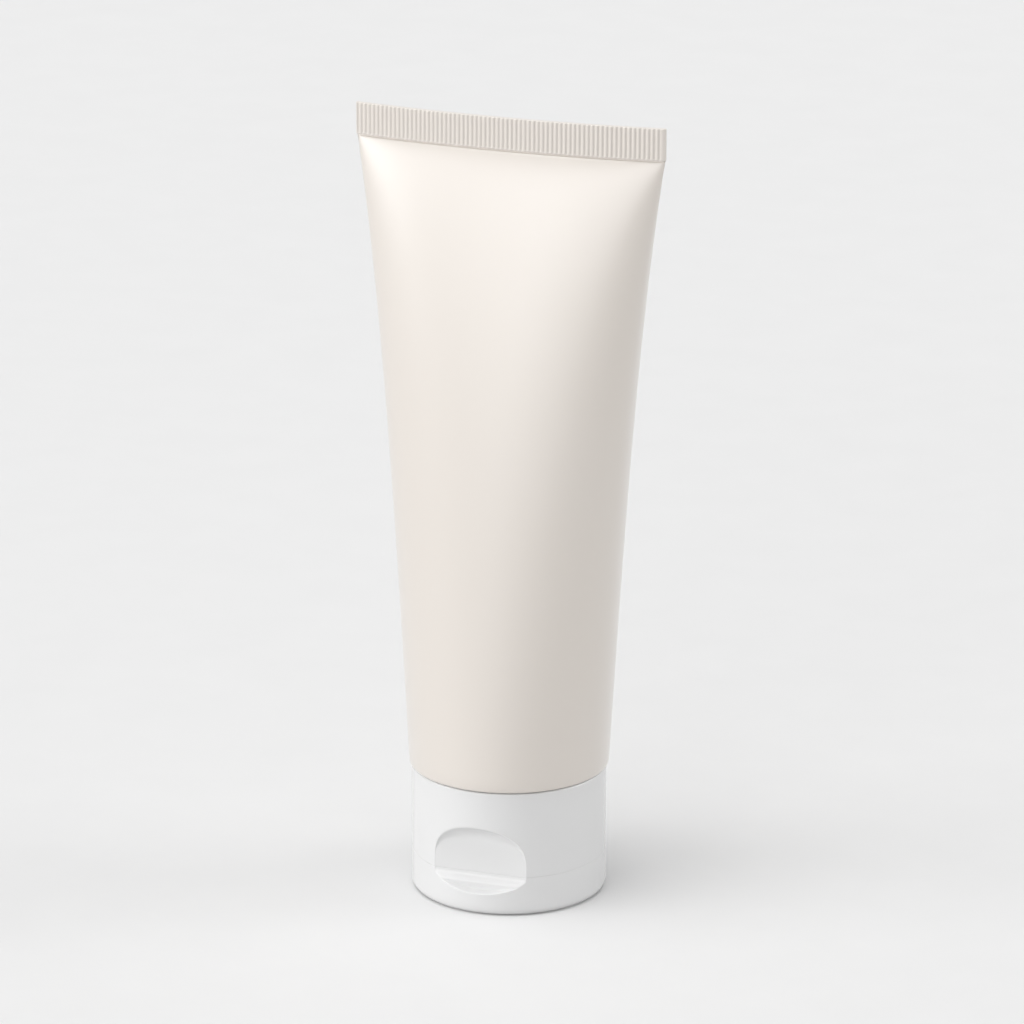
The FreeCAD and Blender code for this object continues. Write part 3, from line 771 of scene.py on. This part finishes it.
# %% The flip lid
LID_TOP = PARTING - 0.02
PLATE = 1.4
FOOT_ROUNDING = 1.5
LIP_STEPS_FROM = 3.6
LIP_STEPS_TO = 7.4
PIN_RADIUS = 1.25
PIN_TOP = 7.2
ABOVE_FOOT = 0.9
INSIDE_LOW = 1.0
lid_profile = rounded(
    [
        (0, 0, 0, 3),
        (CAP_RADIUS, 0, FOOT_ROUNDING, 0.6),
        (CAP_RADIUS, LIP_STEPS_FROM, 0, 0.07),
        (CAP_RADIUS, LIP_STEPS_TO, 0, 0.12),
        (CAP_RADIUS, LID_TOP, PARTING_ROUNDING, 0.3),
        (inner, LID_TOP, 0.12, 1.0),
        (inner, PLATE, 0.5, 3),
        (PIN_RADIUS, PLATE, 0.3, 0),
        (PIN_RADIUS, PIN_TOP, 0.6, 0),
        (0, PIN_TOP, 0, 0),
    ],
    closed=False,
)
x, y, z, radius = turned(lid_profile, AZIMUTHS)
outer = y + np.where(y < 0, recess_depth(x, z), 0)
hidden = flat_behind(y, z, INSIDE_LOW)
share_out = np.clip((radius - inner) / CAP_WALL, 0, 1)
# the foot keeps its round form; above it the two surfaces are mixed through the wall
y = np.where(z > ABOVE_FOOT, hidden + (outer - hidden) * share_out, y)
rings = rings_of(x, y, z)
points, faces = net(rings[1:-1])
count = len(AZIMUTHS)
poles = len(points)
points = np.concatenate([points, rings[0][:1], rings[-1][:1]])
for k in range(count):
    faces.append((poles, k, (k + 1) % count))
    faces.append((poles + 1, poles - count + (k + 1) % count, poles - count + k))
pad = slab(
    (-PAD_HALF, PAD_ROOT, PARTING - FILM_REACH - PAD_HEIGHT),
    (PAD_HALF, PAD_FACE, PARTING - FILM_REACH),
    PAD_ROUNDING,
)
lid = make_piece("lid", points, faces, cap_material, [pad])

# %% [markdown]
# ## The hinge film
# Lid and cap are moulded in one shot, joined by a web 0.3 mm thick. Polypropylene folds there many
# thousand times without breaking. The web is a fine ribbon of rings, thinner at the fold line.

# %% The film
FILM_HALF = 5.5
FILM_THICKNESS = 0.3
FILM_SINK = 0.01
FILM_OVERLAP = 0.1
FILM_RINGS = 48
FILM_COLUMNS = 13
SIDE_COLUMNS = 7
FOLD_THINNING = 0.14
FOLD_WIDTH = 0.22


def film_ring(height):
    """A flat rounded ring across the film at one height."""
    thin = FOLD_THINNING * math.exp(-(((height - PARTING) / FOLD_WIDTH) ** 2))
    front, back = PAD_FACE - FILM_THICKNESS + FILM_SINK, PAD_FACE - FILM_SINK - thin
    middle, half = (front + back) / 2, (back - front) / 2
    x = np.linspace(-FILM_HALF + half, FILM_HALF - half, FILM_COLUMNS)
    side = np.linspace(-np.pi / 2, np.pi / 2, SIDE_COLUMNS)[1:-1]
    reach, depth = FILM_HALF - half + half * np.cos(side), half * np.sin(side)
    flat = np.full(FILM_COLUMNS, half)
    x = np.concatenate([x, reach, x[::-1], -reach])
    y = np.concatenate([-flat, depth, flat, -depth])
    return np.stack([x, middle + y, np.full(len(x), height)], axis=1)


film_heights = np.linspace(film_floor.z - FILM_OVERLAP, film_ceiling.z + FILM_OVERLAP, FILM_RINGS)
film_rings = [film_ring(height) for height in film_heights]
points, faces = net(film_rings)
around = len(film_rings[0])
faces += [tuple(range(around)), tuple(range(len(points) - around, len(points)))]
film = make_piece("film", points, faces, cap_material)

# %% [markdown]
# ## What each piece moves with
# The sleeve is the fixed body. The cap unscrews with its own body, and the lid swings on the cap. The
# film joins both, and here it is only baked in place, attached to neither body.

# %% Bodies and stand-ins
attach(sleeve, "tube")
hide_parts("tube_sleeve")
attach(cap, "cap")
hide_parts("cap_base")
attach(lid, "lid")
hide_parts("flip_lid")
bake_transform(film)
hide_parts("hinge_film")

# %% [markdown]
# ## Inside the tube
# The shoulder and the gel stay as the CAD made them, since only a cut or an open cap would show them.
# The shoulder is natural polyethylene, milky and a little see-through. The gel is pale and wet, with
# grains that do the scrubbing: specks 0.6 mm across in the cells of a Voronoi pattern.

# %% Materials of the inside
HEAD_HEX = "F1EEE9"
HEAD_HEX_DEEP = "E9E5DE"
GEL_HEX = "EFE7D9"
GRAIN_HEX = "B78F63"


def natural_polyethylene():
    """Unpigmented polyethylene: milky, waxy, with light that spreads below the surface."""
    material, tree = new_material("natural_polyethylene")
    place = add(tree, "ShaderNodeTexCoord").outputs["Object"]
    haze = add(tree, "ShaderNodeTexNoise", {"Vector": place, "Scale": 300.0, "Detail": 3.0})
    tone = add(tree, "ShaderNodeMix", {"Factor": haze.outputs["Fac"]}, data_type="RGBA")
    tone.inputs["A"].default_value = linear(HEAD_HEX)
    tone.inputs["B"].default_value = linear(HEAD_HEX_DEEP)
    shader = add(
        tree,
        "ShaderNodeBsdfPrincipled",
        {
            "Base Color": tone.outputs["Result"],
            "Roughness": 0.45,
            "IOR": 1.51,
            "Subsurface Weight": 0.2,
            "Subsurface Scale": 0.002,
        },
    )
    add(tree, "ShaderNodeOutputMaterial", {"Surface": shader.outputs["BSDF"]})
    return material


def scrub_gel():
    """Gel with scrubbing grains: wet gloss over specks."""
    material, tree = new_material("gel_with_scrub_grains")
    place = add(tree, "ShaderNodeTexCoord").outputs["Object"]
    cells = add(tree, "ShaderNodeTexVoronoi", {"Vector": place, "Scale": 600.0})
    speck = add(
        tree,
        "ShaderNodeMapRange",
        {"Value": cells.outputs["Distance"], "From Min": 0.18, "From Max": 0.3, "To Min": 1, "To Max": 0},
    )
    tone = add(tree, "ShaderNodeMix", {"Factor": speck.outputs["Result"]}, data_type="RGBA")
    tone.inputs["A"].default_value = linear(GEL_HEX)
    tone.inputs["B"].default_value = linear(GRAIN_HEX)
    bump = add(
        tree, "ShaderNodeBump", {"Height": speck.outputs["Result"], "Strength": 0.4, "Distance": 0.0001}
    )
    shader = add(
        tree,
        "ShaderNodeBsdfPrincipled",
        {
            "Base Color": tone.outputs["Result"],
            "Roughness": 0.12,
            "IOR": 1.36,
            "Normal": bump.outputs["Normal"],
        },
    )
    add(tree, "ShaderNodeOutputMaterial", {"Surface": shader.outputs["BSDF"]})
    return material


def finish_node(name, material):
    """Gives a carried-over CAD node its material."""
    mesh = nodes[name].data
    if not mesh.materials:
        mesh.materials.append(material)
    for slot in nodes[name].material_slots:
        slot.material = material


finish_node("tube_head", natural_polyethylene())
finish_node("gel_fill", scrub_gel())
for name in ("tube_sleeve", "hinge_film", "cap_base", "flip_lid"):
    finish_node(name, sleeve_material if name == "tube_sleeve" else cap_material)

# %% [markdown]
# ## Floor
# The tube stands on a plain pale floor that fills the picture. The floor, like the world around it,
# has two levels: a pale one for what the eye sees and what a gloss mirrors, and a lower one for the
# light that it throws up at the tube.

# %% The floor
FLOOR_SIZE = 12.0
PAPER_HEX = "EEEEEE"
PAPER_HEX_DEEP = "EBEBEB"
BOUNCE_HEX = "BCBCBC"


def seen_or_mirrored(tree):
    """1 for what the eye sees directly, in a gloss or through glass; 0 for light on its way."""
    path = add(tree, "ShaderNodeLightPath")
    seen = path.outputs["Is Camera Ray"]
    for kind in ("Is Glossy Ray", "Is Transmission Ray"):
        both = add(tree, "ShaderNodeMath", {0: seen, 1: path.outputs[kind]}, operation="MAXIMUM")
        seen = both.outputs["Value"]
    return seen


def paper_sweep():
    """Matt paper of a studio sweep: no gloss, with a hardly visible fibre cloud."""
    material, tree = new_material("matt_paper_sweep")
    place = add(tree, "ShaderNodeTexCoord").outputs["Object"]
    fibres = add(tree, "ShaderNodeTexNoise", {"Vector": place, "Scale": 60.0, "Detail": 2.0})
    tone = add(tree, "ShaderNodeMix", {"Factor": fibres.outputs["Fac"]}, data_type="RGBA")
    tone.inputs["A"].default_value = linear(PAPER_HEX)
    tone.inputs["B"].default_value = linear(PAPER_HEX_DEEP)
    # the paper is pale to the eye and in the cap's gloss, and throws less light up at the tube
    shown = add(tree, "ShaderNodeMix", {"Factor": seen_or_mirrored(tree)}, data_type="RGBA")
    shown.inputs["A"].default_value = linear(BOUNCE_HEX)
    tree.links.new(tone.outputs["Result"], shown.inputs["B"])
    shader = add(
        tree,
        "ShaderNodeBsdfPrincipled",
        {"Base Color": shown.outputs["Result"], "Roughness": 1.0, "Specular IOR Level": 0.0},
    )
    add(tree, "ShaderNodeOutputMaterial", {"Surface": shader.outputs["BSDF"]})
    return material


floor_mesh = bpy.data.meshes.new("floor")
reach = FLOOR_SIZE / 2
floor_mesh.from_pydata(
    [(-reach, -reach, 0), (reach, -reach, 0), (reach, reach, 0), (-reach, reach, 0)], [], [(0, 1, 2, 3)]
)
floor_mesh.materials.append(paper_sweep())
floor = bpy.data.objects.new("floor", floor_mesh)
bpy.context.scene.collection.objects.link(floor)

# %% [markdown]
# ## Light
# Suns with very wide discs act as softboxes far away, so the floor is lit the same everywhere and only
# the tube's own soft shadow falls on it. Three hang high: one overhead, one high on the left and one
# high in front. A long low strip of three runs from the left to the front and shapes the round wall,
# and a fill on the right opens the shade. The world adds an even light from all sides.

# %% The lights
WORLD_LEVEL = 0.3
BACKDROP_LEVEL = 0.84


def softbox(name, azimuth, elevation, strength, width):
    """A sun with a wide disc. Azimuth is measured from the front, positive to the right."""
    lamp = bpy.data.lights.new(name, "SUN")
    lamp.energy = strength
    lamp.angle = math.radians(width)
    box = bpy.data.objects.new(name, lamp)
    a, e = math.radians(azimuth), math.radians(elevation)
    towards = Vector((math.sin(a) * math.cos(e), -math.cos(a) * math.cos(e), math.sin(e)))
    box.rotation_euler = towards.to_track_quat("Z", "Y").to_euler()
    bpy.context.scene.collection.objects.link(box)
    print(f"{name}: up-facing level {strength * math.sin(e) / math.pi:.2f}")


softbox("overhead", azimuth=0, elevation=89, strength=0.93, width=34)
softbox("high_left", azimuth=-60, elevation=75, strength=0.41, width=30)
softbox("high_front", azimuth=-30, elevation=66, strength=0.22, width=22)
softbox("strip_left", azimuth=-60, elevation=8, strength=1.44, width=40)
softbox("strip_middle", azimuth=-28, elevation=8, strength=0.55, width=40)
softbox("strip_right", azimuth=0, elevation=8, strength=0.86, width=40)
softbox("fill", azimuth=110, elevation=8, strength=1.5, width=40)

world = bpy.data.worlds.new("studio")
bpy.context.scene.world = world
world.use_nodes = True
# the same two levels as the paper: pale to the eye and in a gloss, and low as a light
level = add(
    world.node_tree,
    "ShaderNodeMapRange",
    {"Value": seen_or_mirrored(world.node_tree), "To Min": WORLD_LEVEL, "To Max": BACKDROP_LEVEL},
)
background = world.node_tree.nodes["Background"]
background.inputs["Color"].default_value = (1, 1, 1, 1)
world.node_tree.links.new(level.outputs["Result"], background.inputs["Strength"])

# %% [markdown]
# ## Camera
# A long lens from slightly above and to the right of the front keeps the tube's sides nearly parallel.
# The camera is placed from its target, its distance and two angles.

# %% The camera
VIEW_AZIMUTH = math.radians(19.6)
VIEW_ELEVATION = math.radians(17.943)
VIEW_DISTANCE = 1187.3
VIEW_ROLL = math.radians(0.1)
ASIDE = 0.488
TARGET_HEIGHT = 78.99
SENSOR_WIDTH = 36.0
FOCAL_LENGTH = 208.97
CLIP_END = 20.0
back = Vector(
    (
        math.sin(VIEW_AZIMUTH) * math.cos(VIEW_ELEVATION),
        -math.cos(VIEW_AZIMUTH) * math.cos(VIEW_ELEVATION),
        math.sin(VIEW_ELEVATION),
    )
)
target = Vector((ASIDE * math.cos(VIEW_AZIMUTH), ASIDE * math.sin(VIEW_AZIMUTH), TARGET_HEIGHT))
lens = bpy.data.cameras.new("camera")
lens.sensor_width = SENSOR_WIDTH
lens.lens = FOCAL_LENGTH
lens.clip_end = CLIP_END
camera = bpy.data.objects.new("camera", lens)
turned_to = back.to_track_quat("Z", "Y").to_matrix().to_4x4()
roll = Matrix.Rotation(VIEW_ROLL, 4, "Z")
camera.matrix_world = Matrix.Translation((target + back * VIEW_DISTANCE) * MM) @ turned_to @ roll
bpy.context.scene.collection.objects.link(camera)
bpy.context.scene.camera = camera
bpy.context.scene.view_settings.view_transform = "Standard"
